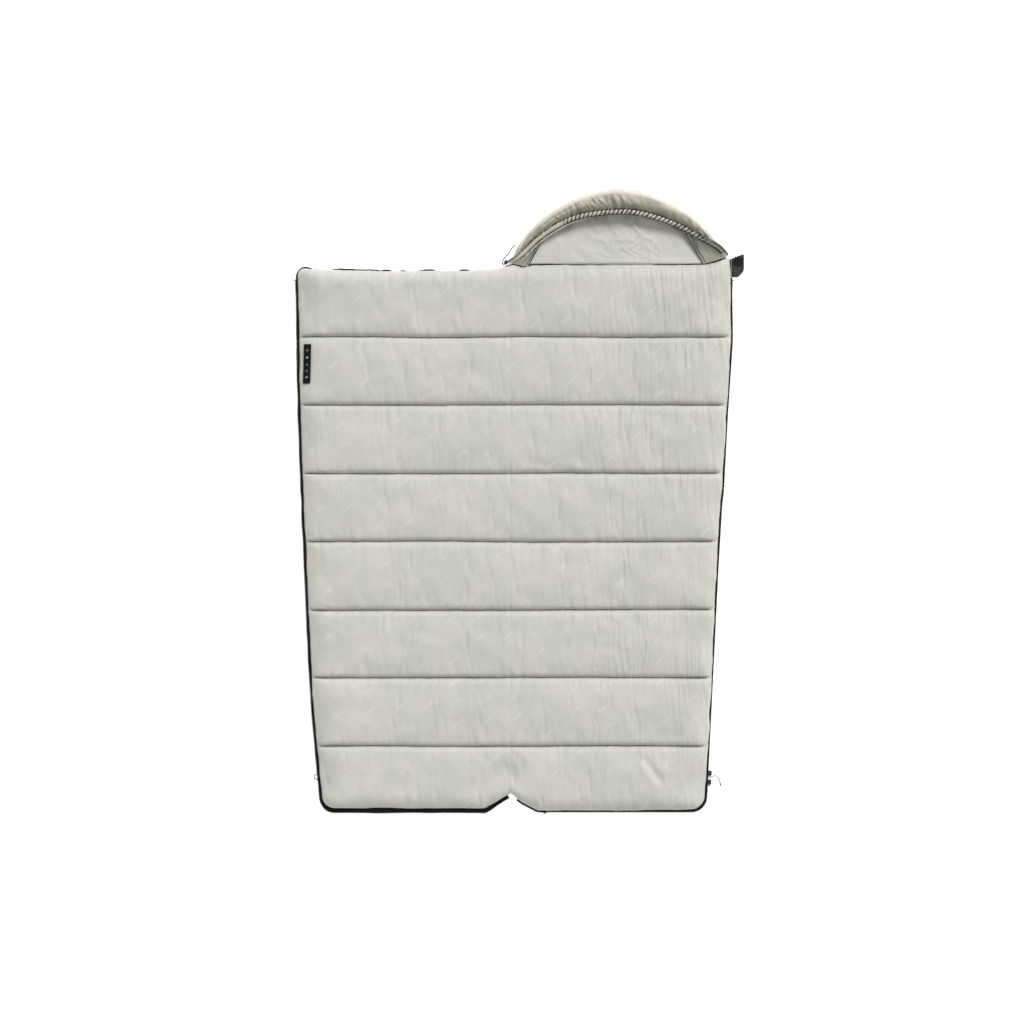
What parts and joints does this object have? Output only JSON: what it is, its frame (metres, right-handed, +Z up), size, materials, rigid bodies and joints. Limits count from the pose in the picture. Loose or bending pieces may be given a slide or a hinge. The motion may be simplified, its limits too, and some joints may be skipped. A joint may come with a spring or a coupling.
{
  "type": "camp quilt",
  "caption": "Hooded envelope sleeping bag unzipped and opened flat as a padded camp quilt, with sewn channels, two-way zip, drawcord hood and closing flap.",
  "frame": {"origin": "on the ground under the fold line, at the middle seam of the eight channels", "axes": "+X from the fold to the hooded right half, +Y from the foot to the head and hood, +Z up from the ground"},
  "size_m": [1.5621, 2.1686, 0.0846],
  "materials": {
    "lining": "matte",
    "shell": "matte",
    "batting": "matte",
    "gusset": "matte",
    "black_tape": "matte",
    "cord": "matte",
    "label": "satin",
    "flap": "matte",
    "black_plastic": "satin",
    "slider": "satin",
    "spring_steel": "polished"
  },
  "bodies": {
    "right_half": {"shell_right": "shell", "lining_right": "lining", "batting_right_1": "batting", "batting_right_2": "batting", "batting_right_3": "batting", "batting_right_4": "batting", "batting_right_5": "batting", "batting_right_6": "batting", "batting_right_7": "batting", "batting_right_8": "batting", "zip_tape_right": "black_tape", "zip_coil_right": "black_plastic", "top_stop_right": "black_plastic", "retaining_box": "black_plastic", "neck_binding": "black_tape"},
    "left_half": {"shell_left": "shell", "lining_left": "lining", "batting_left_1": "batting", "batting_left_2": "batting", "batting_left_3": "batting", "batting_left_4": "batting", "batting_left_5": "batting", "batting_left_6": "batting", "batting_left_7": "batting", "batting_left_8": "batting", "zip_tape_left": "black_tape", "zip_coil_left": "black_plastic", "top_stop_left": "black_plastic", "insertion_pin": "black_plastic", "head_binding": "black_tape", "label": "label", "loop_patch": "black_tape"},
    "hood": {"hood_back_shell": "shell", "hood_back_batting": "batting", "hood_back_lining": "lining", "hood_crown_shell": "shell", "hood_crown_batting": "batting", "hood_crown_lining": "lining", "hem_tunnel": "shell", "drawcord": "cord", "gusset_left": "gusset", "gusset_right": "gusset"},
    "cord_lock": {"cord_lock_body": "black_plastic", "drawcord_tail": "cord", "tail_knot": "cord", "lock_spring": "spring_steel"},
    "lock_plunger": {"cord_lock_plunger": "black_plastic"},
    "upper_slider": {"upper_slider_body": "slider"},
    "upper_pull": {"upper_pull_tab": "slider", "pull_cord": "cord", "pull_tip": "black_plastic"},
    "lower_slider": {"lower_slider_body": "slider"},
    "lower_pull": {"lower_pull_tab": "slider"},
    "flap": {"flap": "flap", "hook_patch": "black_plastic"},
    "hang_loop": {"hang_loop": "cord"}
  },
  "joints": [
    {"name": "half_fold", "type": "hinge", "parent": "right_half", "child": "left_half", "pos_m": [0, 0, 0.046], "axis": [0, 1, 0], "range_deg": [0, 180]},
    {"name": "hood_fold", "type": "hinge", "parent": "right_half", "child": "hood", "pos_m": [0.362, 0.953, 0.046], "axis": [1, 0, 0], "range_deg": [0, 90]},
    {"name": "upper_slider_travel", "type": "slide", "parent": "right_half", "child": "upper_slider", "axis": [0.0495, 0.9988, 0], "range_m": [0, 1.68]},
    {"name": "lower_slider_travel", "type": "slide", "parent": "right_half", "child": "lower_slider", "axis": [0.0495, 0.9988, 0], "range_m": [-0.042, 0]},
    {"name": "upper_pull_flip", "type": "hinge", "parent": "upper_slider", "child": "upper_pull", "pos_m": [0.67938, -0.8037, 0.01205], "axis": [-0.9988, 0.0495, 0], "range_deg": [0, 180]},
    {"name": "lower_pull_flip", "type": "hinge", "parent": "lower_slider", "child": "lower_pull", "pos_m": [0.67784, -0.8347, 0.01205], "axis": [-0.9988, 0.0495, 0], "range_deg": [0, 180]},
    {"name": "flap_fold", "type": "hinge", "parent": "right_half", "child": "flap", "pos_m": [0.7546, 0.957, 0.0015], "axis": [0, -1, 0], "range_deg": [0, 90]},
    {"name": "hang_loop_swing", "type": "hinge", "parent": "left_half", "child": "hang_loop", "pos_m": [-0.6806, -0.817, 0.0022], "axis": [-0.0495, 0.9988, 0], "range_deg": [0, 90]},
    {"name": "drawcord_pull", "type": "slide", "parent": "hood", "child": "cord_lock", "axis": [-0.7012, -0.713, 0], "range_m": [0, 0.012]},
    {"name": "plunger_press", "type": "slide", "parent": "cord_lock", "child": "lock_plunger", "axis": [0, 0, -1], "range_m": [0, 0.0035], "stiffness_N_per_m": 400, "deforming": ["lock_spring"]}
  ]
}
